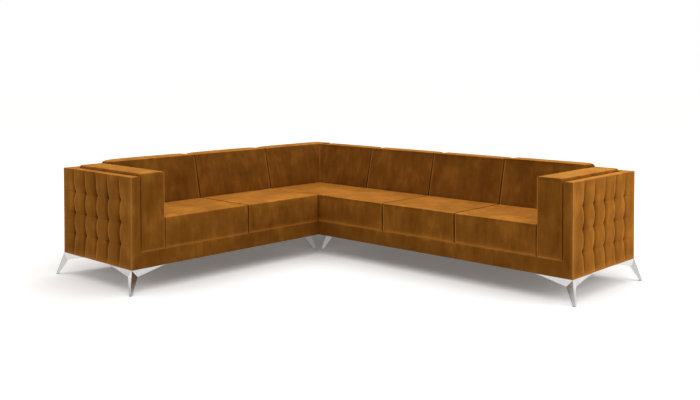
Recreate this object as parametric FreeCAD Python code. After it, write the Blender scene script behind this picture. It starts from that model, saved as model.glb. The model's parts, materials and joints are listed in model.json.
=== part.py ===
import FreeCAD, Part
import math
import os

V = FreeCAD.Vector

# Corner sofa of two runs that meet at a right angle, in millimetres, +Z up.
# Each run has its own coordinates: s runs from the outer back corner along the run,
# w runs from the rear outer face to the front, z is the height above the floor.
# The right run takes in the corner, and the left run docks against its side.

# Overall sizes
right_length = 2870
left_length = 2400
depth = 800
leg_height = 144
apron_top = 244
seat_top = 440
shell_top = 710
pad_top = 726
back_top = 747

# Walls, from the outer face inwards
tuft_thick = 30
frame_thick = 26
lining = 10
apron_thick = 12
arm_width = 237
pad_gap = 9
pad_rear_gap = 14

# Tufted panels
tuft_pitch = 133
tuft_row_count = 4
column_fold = 14
row_fold = 6
row_lift = 1

# Seat and back cushions
back_front = 280
back_lean = 68
back_round = 24
back_rear_round = 30
back_crest = 5
back_bulge = 3
soft_gap = 3
rest_gap = 0.3
seat_round = 14
seat_crown = 5
seat_bulge = 4
pad_round = 9
pad_crown = 3
draw_in = 6
draw_reach = 45
right_seat_count = 3
left_seat_count = 2

# Wooden base
rail_thick = 28
dust_thick = 2
strap_thick = 2
strap_width = 60
strap_pitch = 125
deck_thick = 10
post_width = 50
frame_base_height = 90
frame_cap_height = 50
post_pitch = 300
cross_pitch = 560
core_width = 60
core_wall = 60
core_post = 44

# Metal legs
leg_splay = 38
wing_length = 240
wing_thick = 6
flange_thick = 3
flange_reach = 160
fold_along = 41
fold_drop = 45
foot_width = 21
glide_thick = 3
glide_margin = 1
block_reach = 170
screw_near = 110
screw_far = 150
screw_radius = 4
screw_head_radius = 7
screw_head = 3
screw_length = 40
hole_play = 0.2
over_cut = 1
inner_leg_across = 175
inner_leg_along = 72
joint_leg_offset = 50

# Bolts and the hooks that join the two runs
bolt_radius = 4
bolt_head_radius = 8
bolt_head = 5
bolt_height = 190
bolt_tip_gap = 2
bolt_pitch = 600
bolt_edge = 230
pad_bolt_distance = 150
pad_bolt_grip = 30
hook_width = 60
hook_height = 70
hook_play = 0.2
hook_stud_radius = 8
hook_distance = 180

# Heights and places that follow from the sizes above
shell_thick = tuft_thick + frame_thick + lining
rail_low = leg_height + dust_thick
rail_high = apron_top - deck_thick
rail_high_wood = rail_high - strap_thick
rail_inner_front = depth - apron_thick - rail_thick
rail_outer_front = depth - apron_thick
rail_inner_rear = shell_thick + rail_thick
frame_top = shell_top - lining
right_shell = right_length - shell_thick
left_shell = left_length - shell_thick
right_pad = right_length - arm_width
left_pad = left_length - arm_width
pad_rear = shell_thick + pad_rear_gap
pad_outer_gap = shell_thick + pad_gap
seat_rear = back_front + soft_gap
back_rear = shell_thick + soft_gap


def box(s0, s1, w0, w1, z0, z1):
    return Part.makeBox(s1 - s0, w1 - w0, z1 - z0, V(s0, w0, z0))


def rod(base, direction, radius, length):
    return Part.makeCylinder(radius, length, base, direction)


def evenly(first, last, pitch):
    # Places from first to last, both included, about one pitch apart
    steps = max(1, round((last - first) / pitch))
    return [first + (last - first) * i / steps for i in range(steps + 1)]


def outline(to_space, start, steps):
    # A closed wire: a step of one point is a line, a step of two is an arc
    edges = []
    here = to_space(*start)
    for step in steps:
        there = to_space(*step[-1])
        if len(step) == 1:
            edges.append(Part.LineSegment(here, there).toShape())
        else:
            edges.append(Part.Arc(here, to_space(*step[0]), there).toShape())
        here = there
    edges.append(Part.LineSegment(here, to_space(*start)).toShape())
    return Part.Wire(edges)


def arc_middle(p, q, bulge):
    # The point on an arc from p to q that stands off the chord's middle by bulge, to its left
    along = (q[0] - p[0], q[1] - p[1])
    length = math.hypot(*along)
    return (
        (p[0] + q[0]) / 2 - along[1] / length * bulge,
        (p[1] + q[1]) / 2 + along[0] / length * bulge,
    )


def round_bulge(radius):
    # How far a quarter circle stands off its chord
    return radius * (1 - math.sqrt(0.5))


def loft(wires):
    return Part.makeLoft(wires, True, True)


def wave(length, count, crest, fold, thick):
    # One scalloped edge: cells bulge to the crest between folds, and the end cells run flat
    pitch = length / count
    rise = fold - crest
    radius = (pitch * pitch / 4 + rise * rise) / (2 * rise)
    quarter = math.asin(pitch / 2 / radius) / 2
    side = radius * math.sin(quarter)
    sag = crest + radius * (1 - math.cos(quarter))
    steps = [[(0, crest)], [(pitch / 2, crest)]]
    steps.append([(pitch / 2 + side, sag), (pitch, fold)])
    for i in range(1, count - 1):
        steps.append([((i + 0.5) * pitch, crest), ((i + 1) * pitch, fold)])
    last = (count - 0.5) * pitch
    steps.append([(last - side, sag), (last, crest)])
    steps.append([(length, crest)])
    steps.append([(length, thick)])
    return (0, thick), steps


def tufted_panel(origin, along, inward, length):
    # Upholstered panel: deep sewn folds upwards cross shallow ones along the panel
    height = shell_top - leg_height
    up = V(0, 0, 1)
    columns = max(2, round(length / tuft_pitch))
    start, steps = wave(length, columns, 0, column_fold, tuft_thick)
    plan = outline(lambda u, t: origin + along * u + inward * t, start, steps)
    start, steps = wave(height, tuft_row_count, -row_lift, row_fold, tuft_thick)
    side = outline(lambda u, t: origin + up * u + inward * t, start, steps)
    upright = Part.Face(plan).extrude(up * height)
    level = Part.Face(side).extrude(along * length)
    return upright.common(level)


def shell_cover(s0, s1, w0, w1, cavity):
    # Cloth-covered lining over the wooden frame, open at its underside and outer side
    return box(s0, s1, w0, w1, rail_low, shell_top).cut(cavity)


def frame_members(place, length, pitch):
    # Wooden frame of one wall: a deep bottom rail, posts and a top rail
    low = rail_low + frame_base_height
    high = frame_top - frame_cap_height
    parts = [place(0, length, rail_low, low), place(0, length, high, frame_top)]
    for middle in evenly(post_width / 2, length - post_width / 2, pitch):
        parts.append(place(middle - post_width / 2, middle + post_width / 2, low, high))
    return parts


def seat_section(s, drop, pull):
    front = depth - pull
    top = seat_top - drop
    low = apron_top + rest_gap
    knee = (front - seat_bulge, top - seat_round)
    crest = (front - seat_bulge - seat_round, top)
    heel = (seat_rear + seat_round, top)
    back = (seat_rear, top - seat_round)
    toe = (front - seat_bulge, low)
    corner = round_bulge(seat_round)
    return outline(
        lambda w, z: V(s, w, z),
        (seat_rear, low),
        [
            [toe],
            [arc_middle(toe, knee, -seat_bulge), knee],
            [arc_middle(knee, crest, -corner), crest],
            [arc_middle(crest, heel, -max(0.5, seat_crown - drop)), heel],
            [arc_middle(heel, back, -corner), back],
        ],
    )


def seat_cushion(s0, s1):
    sections = [
        seat_section(s0, draw_in, draw_in / 2),
        seat_section(s0 + draw_reach, seat_crown / 2, 0),
        seat_section((s0 + s1) / 2, 0, 0),
        seat_section(s1 - draw_reach, seat_crown / 2, 0),
        seat_section(s1, draw_in, draw_in / 2),
    ]
    return loft(sections)


def back_front_at(z):
    # Front face of a back cushion: upright beside the seat, leaning back above it
    share = max(0, z - seat_top) / (back_top - back_round - seat_top)
    return back_front - back_lean * share


def back_section(s, drop, pull):
    top = back_top - back_crest - drop
    chin_z = top - back_round
    waist = (back_front - pull, seat_top)
    chin = (back_front_at(back_top - back_round) - pull, chin_z)
    brow = (chin[0] - back_round, top)
    nape = (back_rear + back_rear_round, top - back_crest / 2)
    neck = (back_rear, top - back_rear_round)
    corner = round_bulge(back_round)
    rear_corner = round_bulge(back_rear_round)
    return outline(
        lambda w, z: V(s, w, z),
        (back_rear, apron_top),
        [
            [(back_front - pull, apron_top)],
            [waist],
            [arc_middle(waist, chin, -max(0.5, back_bulge - pull / 2)), chin],
            [arc_middle(chin, brow, -corner), brow],
            [arc_middle(brow, nape, -back_crest), nape],
            [arc_middle(nape, neck, -rear_corner), neck],
        ],
    )


def back_cushion(s0, s1):
    sections = [
        back_section(s0, draw_in, draw_in),
        back_section(s0 + draw_reach, draw_in / 3, draw_in / 3),
        back_section((s0 + s1) / 2, 0, 0),
        back_section(s1 - draw_reach, draw_in / 3, draw_in / 3),
        back_section(s1, draw_in, draw_in),
    ]
    return loft(sections)


def corner_back_trim():
    # The space of the left run's corner cushion, seen from the right run
    tall = back_top + back_round
    clear = soft_gap + back_bulge
    points = [
        (0, apron_top - back_round),
        (back_front + clear, apron_top - back_round),
        (back_front + clear, seat_top),
        (back_front_at(tall) + clear, tall),
        (0, tall),
    ]
    wire = outline(lambda s, z: V(s, 0, z), points[0], [[p] for p in points[1:]])
    return Part.Face(wire).extrude(V(0, depth, 0))


def pad_section(w, s0, s1, pull):
    top = pad_top - pull
    left_low = (s0 + pull, apron_top)
    right_low = (s1 - pull, apron_top)
    right_high = (s1 - pull, top - pad_round)
    right_top = (s1 - pull - pad_round, top)
    left_top = (s0 + pull + pad_round, top)
    left_high = (s0 + pull, top - pad_round)
    corner = round_bulge(pad_round)
    return outline(
        lambda s, z: V(s, w, z),
        left_low,
        [
            [right_low],
            [right_high],
            [arc_middle(right_high, right_top, -corner), right_top],
            [arc_middle(right_top, left_top, -max(0.5, pad_crown - pull)), left_top],
            [arc_middle(left_top, left_high, -corner), left_high],
        ],
    )


def arm_pad(pad_inner, length):
    # Upholstered block of the arm, hollow underneath for its wooden core
    outer = length - pad_outer_gap
    solid = loft(
        [
            pad_section(pad_rear, pad_inner, outer, pad_crown),
            pad_section(pad_rear + draw_reach, pad_inner, outer, 1),
            pad_section(depth - draw_reach, pad_inner, outer, 1),
            pad_section(depth, pad_inner, outer, 2),
        ]
    )
    return solid.cut(box(*core_space(pad_inner, length)))


def core_space(pad_inner, length):
    middle = (pad_inner + length - pad_outer_gap) / 2
    return (
        middle - core_width / 2,
        middle + core_width / 2,
        pad_rear + core_wall,
        depth - core_wall,
        apron_top,
        pad_top - core_wall,
    )


def pad_core(pad_inner, length):
    s0, s1, w0, w1, z0, z1 = core_space(pad_inner, length)
    members = [
        box(s0, s1, w0, w1, z0, z0 + core_post),
        box(s0, s1, w0, w1, z1 - core_post, z1),
    ]
    for w in (w0, (w0 + w1 - core_post) / 2, w1 - core_post):
        members.append(box(s0, s1, w, w + core_post, z0 + core_post, z1 - core_post))
    return members


def hull_solid(faces):
    shell = Part.Shell([Part.Face(Part.makePolygon(points + [points[0]])) for points in faces])
    solid = Part.Solid(shell)
    if solid.Volume < 0:
        solid.reverse()
    return solid


def foot_corners():
    # Foot triangle, set so that each long facet of the leg is flat
    drop = leg_height - glide_thick
    near = V(-leg_splay, -leg_splay, glide_thick)
    normal = V(fold_along, 0, -fold_drop).cross(V(-leg_splay, -leg_splay, -drop))
    u = foot_width - leg_splay
    v = (normal.z * drop - normal.x * u) / normal.y
    return near, V(u, v, glide_thick), V(v, u, glide_thick)


def leg_in_place():
    # One leg with its corner at the origin, the sofa towards +u and +v
    top = leg_height
    peak = V(0, 0, top)
    fold_u = V(fold_along, 0, top - fold_drop)
    fold_v = V(0, fold_along, top - fold_drop)
    head_u = V(fold_along, 0, top)
    head_v = V(0, fold_along, top)
    ridge, foot_u, foot_v = foot_corners()
    shank = hull_solid(
        [
            [peak, head_u, head_v],
            [peak, fold_u, head_u],
            [peak, head_v, fold_v],
            [head_u, fold_u, fold_v, head_v],
            [fold_u, foot_u, foot_v, fold_v],
            [peak, ridge, foot_u, fold_u],
            [peak, fold_v, foot_v, ridge],
            [ridge, foot_v, foot_u],
        ]
    )
    wing_shape = [peak, fold_u, V(wing_length, 0, top), peak]
    wing_u = Part.Face(Part.makePolygon(wing_shape)).extrude(V(0, wing_thick, 0))
    wing_shape = [peak, fold_v, V(0, wing_length, top), peak]
    wing_v = Part.Face(Part.makePolygon(wing_shape)).extrude(V(wing_thick, 0, 0))
    corners = [(0, 0), (wing_length, 0), (flange_reach, flange_reach), (0, wing_length)]
    plate_low = top - flange_thick
    points = [V(u, v, plate_low) for u, v in corners]
    flange = Part.Face(Part.makePolygon(points + [points[0]])).extrude(V(0, 0, flange_thick))
    leg = shank.fuse([wing_u, wing_v, flange]).removeSplitter()
    for u, v in screw_places():
        base = V(u, v, plate_low - over_cut)
        drill = rod(base, V(0, 0, 1), screw_radius + hole_play, flange_thick + 2 * over_cut)
        leg = leg.cut(drill)
    return leg


def screw_places():
    return [(screw_near, screw_near), (screw_far, screw_near), (screw_near, screw_far)]


def leg_screw(u, v):
    low = leg_height - flange_thick
    head = rod(V(u, v, low - screw_head), V(0, 0, 1), screw_head_radius, screw_head)
    return head.fuse(rod(V(u, v, low), V(0, 0, 1), screw_radius, screw_length))


def glide():
    corners = foot_corners()
    middle = (corners[0] + corners[1] + corners[2]) * (1 / 3)
    points = []
    for corner in corners:
        towards = middle - corner
        point = corner + towards * (glide_margin / towards.Length)
        points.append(V(point.x, point.y, 0))
    return Part.Face(Part.makePolygon(points + [points[0]])).extrude(V(0, 0, glide_thick))


def turned(shape, s, w, s_sign, w_sign):
    # Sets a leg's u axis along s and its v axis along w, each with its sign
    shape = shape.copy()
    if s_sign < 0:
        shape = shape.mirror(V(0, 0, 0), V(1, 0, 0))
    if w_sign < 0:
        shape = shape.mirror(V(0, 0, 0), V(0, 1, 0))
    shape.translate(V(s, w, 0))
    return shape


def in_sofa(shape, run):
    # From run coordinates to the sofa's own frame, whose origin is under its middle
    if run == "right":
        shape = shape.mirror(V(0, 0, 0), V(0, 1, 0))
    else:
        shape = shape.copy()
        shape.rotate(V(0, 0, 0), V(0, 0, 1), -90)
    shape.translate(V(-right_length / 2, left_length / 2, 0))
    return shape


nodes = {}


def add(name, run, shapes):
    shapes = shapes if isinstance(shapes, list) else [shapes]
    nodes.setdefault(name, []).extend(in_sofa(shape, run) for shape in shapes)


# Places of the legs: run, corner in s and w, and the way the sofa lies from it
leg_places = {
    "leg_right_front": ("right", right_length, depth, -1, -1),
    "leg_right_rear": ("right", right_length, 0, -1, 1),
    "leg_corner_rear": ("right", 0, 0, 1, 1),
    "leg_inner_right": ("right", depth - inner_leg_along, depth - inner_leg_across, 1, -1),
    "leg_left_front": ("left", left_length, depth, -1, -1),
    "leg_left_rear": ("left", left_length, 0, -1, 1),
    "leg_joint_rear": ("left", depth + joint_leg_offset, 0, 1, 1),
    "leg_inner_left": ("left", depth - inner_leg_along, depth - inner_leg_across, 1, -1),
}


def leg_holes(run):
    # Screw holes of one run's legs, cut in its blocks and dust cover
    holes = []
    for leg_run, s, w, s_sign, w_sign in leg_places.values():
        if leg_run == run:
            for u, v in screw_places():
                base = V(u, v, leg_height - over_cut)
                hole = rod(base, V(0, 0, 1), screw_radius + hole_play, screw_length)
                holes.append(turned(hole, s, w, s_sign, w_sign))
    return holes


def rail_face(place, sign, faces):
    # Nearest rail face on the sofa's side of a leg corner
    ahead = [face for face in faces if (face - place) * sign >= -joint_leg_offset]
    return min(ahead, key=lambda face: abs(face - place))


def leg_block(run, s, w, s_sign, w_sign, s_faces, w_faces):
    # Wooden block in the corner of two rails, or beside one, that takes a leg's screws
    s0 = rail_face(s, s_sign, s_faces)
    w0 = rail_face(w, w_sign, w_faces)
    s1 = s + s_sign * block_reach
    w1 = w + w_sign * block_reach
    return box(min(s0, s1), max(s0, s1), min(w0, w1), max(w0, w1), rail_low, rail_high_wood)


inner_cross = depth - inner_leg_along + block_reach / 2
inner_face = depth - inner_leg_across - block_reach / 2 + soft_gap


def bolt(base, direction, grip):
    head = rod(base - direction * bolt_head, direction, bolt_head_radius, bolt_head)
    return head.fuse(rod(base, direction, bolt_radius, grip))


def bolt_hole(base, direction, grip):
    return rod(base, direction, bolt_radius + hole_play, grip + bolt_tip_gap / 2)


wall_grip = rail_thick + lining + frame_thick - bolt_tip_gap


def wall_bolts():
    # Bolts from inside the base through its rails into the wall frames
    out = {"right": [], "left": []}
    for w in evenly(bolt_edge, depth - bolt_edge, bolt_pitch):
        out["right"].append((V(right_shell - rail_thick, w, bolt_height), V(1, 0, 0)))
        out["left"].append((V(left_shell - rail_thick, w, bolt_height), V(1, 0, 0)))
        out["right"].append((V(rail_inner_rear, w, bolt_height), V(-1, 0, 0)))
    for s in evenly(bolt_edge, right_length - bolt_edge, bolt_pitch):
        out["right"].append((V(s, rail_inner_rear, bolt_height), V(0, -1, 0)))
    for s in evenly(depth + bolt_edge, left_length - bolt_edge, bolt_pitch):
        out["left"].append((V(s, rail_inner_rear, bolt_height), V(0, -1, 0)))
    return out


bolts = wall_bolts()


def drilled(shape, run):
    for base, direction in bolts[run]:
        shape = shape.cut(bolt_hole(base, direction, wall_grip))
    return shape


def wall(run, name, cover_box, cavity_box, members):
    # One wall of the shell: cloth-covered lining and the wooden frame inside it
    cover = shell_cover(*cover_box, box(*cavity_box, rail_low, frame_top))
    add(name + "_cover", run, drilled(cover, run))
    add(name + "_frame", run, [drilled(member, run) for member in members])


def make_walls():
    inner = tuft_thick + frame_thick
    deep = depth - lining - tuft_thick
    for run, name, length in (
        ("right", "right_arm", right_length),
        ("left", "left_arm", left_length),
    ):
        wall(
            run,
            name,
            (length - shell_thick, length - tuft_thick, tuft_thick, depth),
            (length - inner, length - tuft_thick, tuft_thick, depth - lining),
            frame_members(
                lambda a, b, z0, z1, end=length: box(
                    end - inner, end - tuft_thick, tuft_thick + a, tuft_thick + b, z0, z1
                ),
                deep,
                post_pitch,
            ),
        )
    wall(
        "right",
        "right_back",
        (shell_thick, right_shell, tuft_thick, shell_thick),
        (shell_thick, right_shell, tuft_thick, inner),
        frame_members(
            lambda a, b, z0, z1: box(shell_thick + a, shell_thick + b, tuft_thick, inner, z0, z1),
            right_shell - shell_thick,
            post_pitch,
        ),
    )
    wall(
        "right",
        "corner_side",
        (tuft_thick, shell_thick, tuft_thick, depth),
        (tuft_thick, inner, tuft_thick, depth),
        frame_members(
            lambda a, b, z0, z1: box(tuft_thick, inner, tuft_thick + a, tuft_thick + b, z0, z1),
            depth - tuft_thick,
            post_pitch,
        ),
    )
    wall(
        "left",
        "left_back",
        (depth, left_shell, tuft_thick, shell_thick),
        (depth, left_shell, tuft_thick, inner),
        frame_members(
            lambda a, b, z0, z1: box(depth + a, depth + b, tuft_thick, inner, z0, z1),
            left_shell - depth,
            post_pitch,
        ),
    )


def make_tufted_panels():
    low = leg_height
    s_way = V(1, 0, 0)
    w_way = V(0, 1, 0)
    right_span = right_length - 2 * tuft_thick
    left_span = left_length - tuft_thick - depth
    add("right_back_panel", "right", tufted_panel(V(tuft_thick, 0, low), s_way, w_way, right_span))
    add("right_arm_panel", "right", tufted_panel(V(right_length, 0, low), w_way, -s_way, depth))
    add("corner_side_panel", "right", tufted_panel(V(0, 0, low), w_way, s_way, depth))
    add("left_back_panel", "left", tufted_panel(V(depth, 0, low), s_way, w_way, left_span))
    add("left_arm_panel", "left", tufted_panel(V(left_length, 0, low), w_way, -s_way, depth))


def base_rail(run, s0, s1, w0, w1):
    return drilled(box(s0, s1, w0, w1, rail_low, rail_high_wood), run)


def cross_rails(run, places):
    return [base_rail(run, s, s + rail_thick, rail_inner_rear, rail_inner_front) for s in places]


right_ends = (shell_thick, right_shell - rail_thick)
left_ends = (depth, left_shell - rail_thick)


def make_base():
    s_cross = evenly(inner_cross - rail_thick, right_ends[1], cross_pitch)
    right_cross = [right_ends[0]] + s_cross
    left_cross = evenly(left_ends[0], left_ends[1], cross_pitch)[1:]
    add("right_front_rail", "right",
        base_rail("right", shell_thick, right_shell, rail_inner_front, rail_outer_front))
    add("right_rear_rail", "right",
        base_rail("right", shell_thick, right_shell, shell_thick, rail_inner_rear))
    add("right_cross_rails", "right", cross_rails("right", right_cross))
    joint_end = depth + rail_thick
    add("left_front_rail", "left",
        base_rail("left", joint_end, left_shell, rail_inner_front, rail_outer_front))
    add("left_rear_rail", "left",
        base_rail("left", joint_end, left_shell, shell_thick, rail_inner_rear))
    add("left_joint_rail", "left",
        base_rail("left", depth, joint_end, shell_thick, rail_outer_front))
    add("left_cross_rails", "left", cross_rails("left", left_cross))

    faces = {
        "right": [rail_inner_rear, inner_cross, right_shell - rail_thick],
        "left": [joint_end, left_shell - rail_thick],
    }
    holes = {run: leg_holes(run) for run in faces}
    for run, s, w, s_sign, w_sign in leg_places.values():
        inner = w == depth - inner_leg_across
        w_faces = [inner_face] if inner else [rail_inner_rear, rail_inner_front]
        block = leg_block(run, s, w, s_sign, w_sign, faces[run], w_faces)
        add("leg_blocks", run, block.cut(holes[run]))
    for run, start, length in (("right", tuft_thick, right_length), ("left", depth, left_length)):
        sheet = box(start, length - tuft_thick, tuft_thick, rail_outer_front, leg_height, rail_low)
        add("dust_covers", run, sheet.cut(holes[run]))


def make_decks():
    for run, start, end in (("right", shell_thick, right_pad), ("left", depth, left_pad)):
        straps = []
        first = start + strap_pitch / 2
        last = end - strap_pitch / 2
        for middle in evenly(first, last, strap_pitch):
            straps.append(
                box(middle - strap_width / 2, middle + strap_width / 2,
                    shell_thick, rail_outer_front, rail_high_wood, rail_high)
            )
        add(run + "_webbing", run, straps)
        add(run + "_deck", run,
            box(start, end, shell_thick, rail_outer_front, rail_high, apron_top))


def pad_bolt_places(pad_inner, length):
    s0, s1, w0, w1, z0, z1 = core_space(pad_inner, length)
    return [V((s0 + s1) / 2, w, rail_high_wood) for w in (w0 + pad_bolt_distance, w1 - pad_bolt_distance)]


def make_arms():
    board_thick = apron_top - rail_high_wood
    grip = board_thick + pad_bolt_grip
    up = V(0, 0, 1)
    for run, pad_inner, length in (
        ("right", right_pad, right_length),
        ("left", left_pad, left_length),
    ):
        places = pad_bolt_places(pad_inner, length)
        holes = [bolt_hole(place, up, grip) for place in places]
        board = box(pad_inner, length - shell_thick, shell_thick, rail_outer_front,
                    rail_high_wood, apron_top)
        add("arm_base_boards", run, board.cut(holes))
        add(run + "_arm_core", run, [m.cut(holes) for m in pad_core(pad_inner, length)])
        add(run + "_arm_pad", run, arm_pad(pad_inner, length))
        add("frame_bolts", run, [bolt(place, up, grip) for place in places])
        add("frame_bolts", run,
            [bolt(base, direction, wall_grip) for base, direction in bolts[run]])


def make_aprons():
    add("right_apron", "right",
        box(rail_outer_front, right_shell, rail_outer_front, depth, leg_height, apron_top))
    add("left_apron", "left",
        box(depth, left_shell, rail_outer_front, depth, leg_height, apron_top))


def make_hooks():
    # Plates on the docking sides: a stud on one stands in a hole of the other
    low = bolt_height - hook_height / 2
    half = apron_thick / 2
    for s in (shell_thick + hook_distance, rail_outer_front - hook_distance):
        middle = V(s, rail_outer_front, bolt_height)
        plate = box(s - hook_width / 2, s + hook_width / 2,
                    rail_outer_front, rail_outer_front + half, low, low + hook_height)
        hole = rod(middle, V(0, 1, 0), hook_stud_radius + hook_play, half)
        facing = box(s - hook_width / 2, s + hook_width / 2,
                     rail_outer_front + half, depth, low, low + hook_height)
        stud = rod(middle + V(0, hook_play, 0), V(0, 1, 0), hook_stud_radius, half)
        add("docking_hooks", "right", [plate.cut(hole), facing.fuse(stud)])


def make_cushions():
    half = soft_gap / 2
    right_width = (right_pad - depth) / right_seat_count
    left_width = (left_pad - depth) / left_seat_count
    right_seams = [depth + right_width * i for i in range(right_seat_count + 1)]
    left_seams = [depth + left_width * i for i in range(left_seat_count + 1)]

    add("seat_corner", "right", seat_cushion(seat_rear, right_seams[1] - half))
    for i in range(1, right_seat_count):
        cushion = seat_cushion(right_seams[i] + half, right_seams[i + 1] - half)
        add("seat_right_" + str(i), "right", cushion)
    for i in range(left_seat_count):
        start = left_seams[i] + (soft_gap if i == 0 else half)
        cushion = seat_cushion(start, left_seams[i + 1] - half)
        add("seat_left_" + str(i + 1), "left", cushion)

    add("back_corner_left", "left", back_cushion(back_rear, depth - half))
    trimmed = back_cushion(back_front / 2, depth - half).cut(corner_back_trim())
    add("back_corner_right", "right", trimmed)
    for i in range(right_seat_count):
        cushion = back_cushion(right_seams[i] + half, right_seams[i + 1] - half)
        add("back_right_" + str(i + 1), "right", cushion)
    for i in range(left_seat_count):
        cushion = back_cushion(left_seams[i] + half, left_seams[i + 1] - half)
        add("back_left_" + str(i + 1), "left", cushion)


def make_legs():
    leg = leg_in_place()
    foot = glide()
    screws = [leg_screw(u, v) for u, v in screw_places()]
    for name, (run, s, w, s_sign, w_sign) in leg_places.items():
        add(name, run, turned(leg, s, w, s_sign, w_sign))
        add("leg_glides", run, turned(foot, s, w, s_sign, w_sign))
        add("leg_screws", run, [turned(screw, s, w, s_sign, w_sign) for screw in screws])


make_walls()
make_tufted_panels()
make_base()
make_decks()
make_arms()
make_aprons()
make_hooks()
make_cushions()
make_legs()

os.makedirs("parts", exist_ok=True)
for name, shapes in nodes.items():
    shape = shapes[0] if len(shapes) == 1 else Part.makeCompound(shapes)
    shape.exportStep("parts/" + name + ".step")
    print(name, len(shape.Solids), "solids", shape.isValid(), round(shape.Volume / 1e6, 3), "litres")
print(len(nodes), "nodes")
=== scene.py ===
import bpy
import bmesh
import json
import math
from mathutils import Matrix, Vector, noise


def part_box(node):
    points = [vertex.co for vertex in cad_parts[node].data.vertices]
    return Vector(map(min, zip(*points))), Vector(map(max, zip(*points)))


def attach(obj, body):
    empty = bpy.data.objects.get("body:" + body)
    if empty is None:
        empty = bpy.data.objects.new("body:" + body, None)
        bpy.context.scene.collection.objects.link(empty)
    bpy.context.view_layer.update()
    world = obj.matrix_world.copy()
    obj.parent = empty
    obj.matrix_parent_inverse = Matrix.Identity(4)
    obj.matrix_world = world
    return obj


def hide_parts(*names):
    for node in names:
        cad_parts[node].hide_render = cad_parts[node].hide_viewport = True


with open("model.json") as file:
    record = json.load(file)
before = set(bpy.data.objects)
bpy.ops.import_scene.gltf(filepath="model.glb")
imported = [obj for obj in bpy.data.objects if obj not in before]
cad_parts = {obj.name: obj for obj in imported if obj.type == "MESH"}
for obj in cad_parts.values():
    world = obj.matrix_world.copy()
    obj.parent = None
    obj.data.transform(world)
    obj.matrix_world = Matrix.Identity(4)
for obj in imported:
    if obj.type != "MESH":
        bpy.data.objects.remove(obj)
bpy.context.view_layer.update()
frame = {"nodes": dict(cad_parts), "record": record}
scene = bpy.context.scene
print("frame loaded")


# ways of selecting and building

def clearSelection():
    active = bpy.context.view_layer.objects.active
    if active and active.mode != "OBJECT":
        bpy.ops.object.mode_set(mode="OBJECT")
    bpy.ops.object.select_all(action="DESELECT")


def pick(piece):
    clearSelection()
    piece.select_set(True)
    bpy.context.view_layer.objects.active = piece


def selectAlong(piece, axis):
    # selects every edge that runs along one axis
    mesh = bmesh.from_edit_mesh(piece.data)
    for edge in mesh.edges:
        run = edge.verts[1].co - edge.verts[0].co
        edge.select = abs(run[axis]) > 0.99 * run.length
    mesh.select_flush(False)
    bmesh.update_edit_mesh(piece.data)


def addBlock(name, size, places):
    # a block from (0, 0, 0) to size, cut across each axis at the given places
    clearSelection()
    bpy.ops.mesh.primitive_cube_add(size=1, location=(0.5, 0.5, 0.5))
    piece = bpy.context.object
    piece.name = name
    piece.data.name = name
    bpy.ops.object.transform_apply(location=True, rotation=True, scale=True)
    bpy.ops.object.mode_set(mode="EDIT")
    bpy.ops.mesh.select_mode(type="EDGE")
    for axis in range(3):
        selectAlong(piece, axis)
        bpy.ops.mesh.subdivide(number_cuts=len(places[axis]) - 2)
    bpy.ops.object.mode_set(mode="OBJECT")
    steps = [len(p) - 1 for p in places]
    for v in piece.data.vertices:
        v.co = [places[k][round(v.co[k] * steps[k])] for k in range(3)]
    return piece


def softPlaces(length, radius, cell, firstRadius=None):
    # close lines near both ends for the rounding, even cells between
    shares = (0, 0.35, 0.7, 1.1, 1.9)
    first = [(firstRadius or radius) * share for share in shares]
    last = [length - radius * share for share in reversed(shares)]
    inner = last[0] - first[-1]
    count = max(1, round(inner / cell))
    return first + [first[-1] + inner * i / count for i in range(1, count)] + last


# shapes of curves

def ease(x):
    # from 0 to 1, level at both ends
    x = min(1, max(0, x))
    return x * x * (3 - 2 * x)


def fade(distance, width):
    # 1 on a line, and less on both sides of it
    return math.exp(-(distance / width) ** 2)


def dome(x):
    # 0 at both ends of 0 to 1 and 1 over most of the middle
    return 1 - (2 * x - 1) ** 4


def slack(p, size, depth):
    # faint unevenness of a stuffed cover
    return noise.noise(p / size) * depth


# rounding of the blocks

def rounded(p, size, radius):
    # moves a point of a block's surface onto the block with rounded edges
    core = Vector([min(max(p[k], radius), size[k] - radius) for k in range(3)])
    out = p - core
    if out.length < 1e-9:
        return p.copy()
    return core + out.normalized() * radius


def roundPair(a, b, aEdge, bEdge, radius, before):
    # rounds the corner of a section at (aEdge, bEdge) further than it was before, inside points
    # included: each point is drawn in by the share that takes the old outline onto the new one
    da = a - (aEdge - radius)
    db = b - (bEdge - radius)
    if da <= 0 or db <= 0 or radius <= before:
        return a, b
    away = math.hypot(da, db)
    straight = radius - before
    outline = radius * away / max(da, db)
    if min(da, db) / away * outline > straight:
        middle = (da + db) / away * straight
        outline = middle + math.sqrt(max(0, middle ** 2 - 2 * straight ** 2 + before ** 2))
    share = radius / outline
    return aEdge - radius + da * share, bEdge - radius + db * share


def roundFarPair(a, b, aSize, bEdge, radius, before):
    # the same at the other end of a, where a is 0
    mirrored, b = roundPair(aSize - a, b, aSize, bEdge, radius, before)
    return aSize - mirrored, b


# painted light and shade on the velvet, and the finish of a mesh

# painted highlight inside the fronts' edges and painted shade on the sides behind them
frontEdgePaint = {"paintedShade": 0.65, "behind": 0.008, "below": 0.006, "farLine": 0.25, "flat": 0.0005}
# painted light on the tops: how far up the cover must face before its colour is made lighter
topLightPaint = {"from": 0.5, "over": 0.4}


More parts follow.
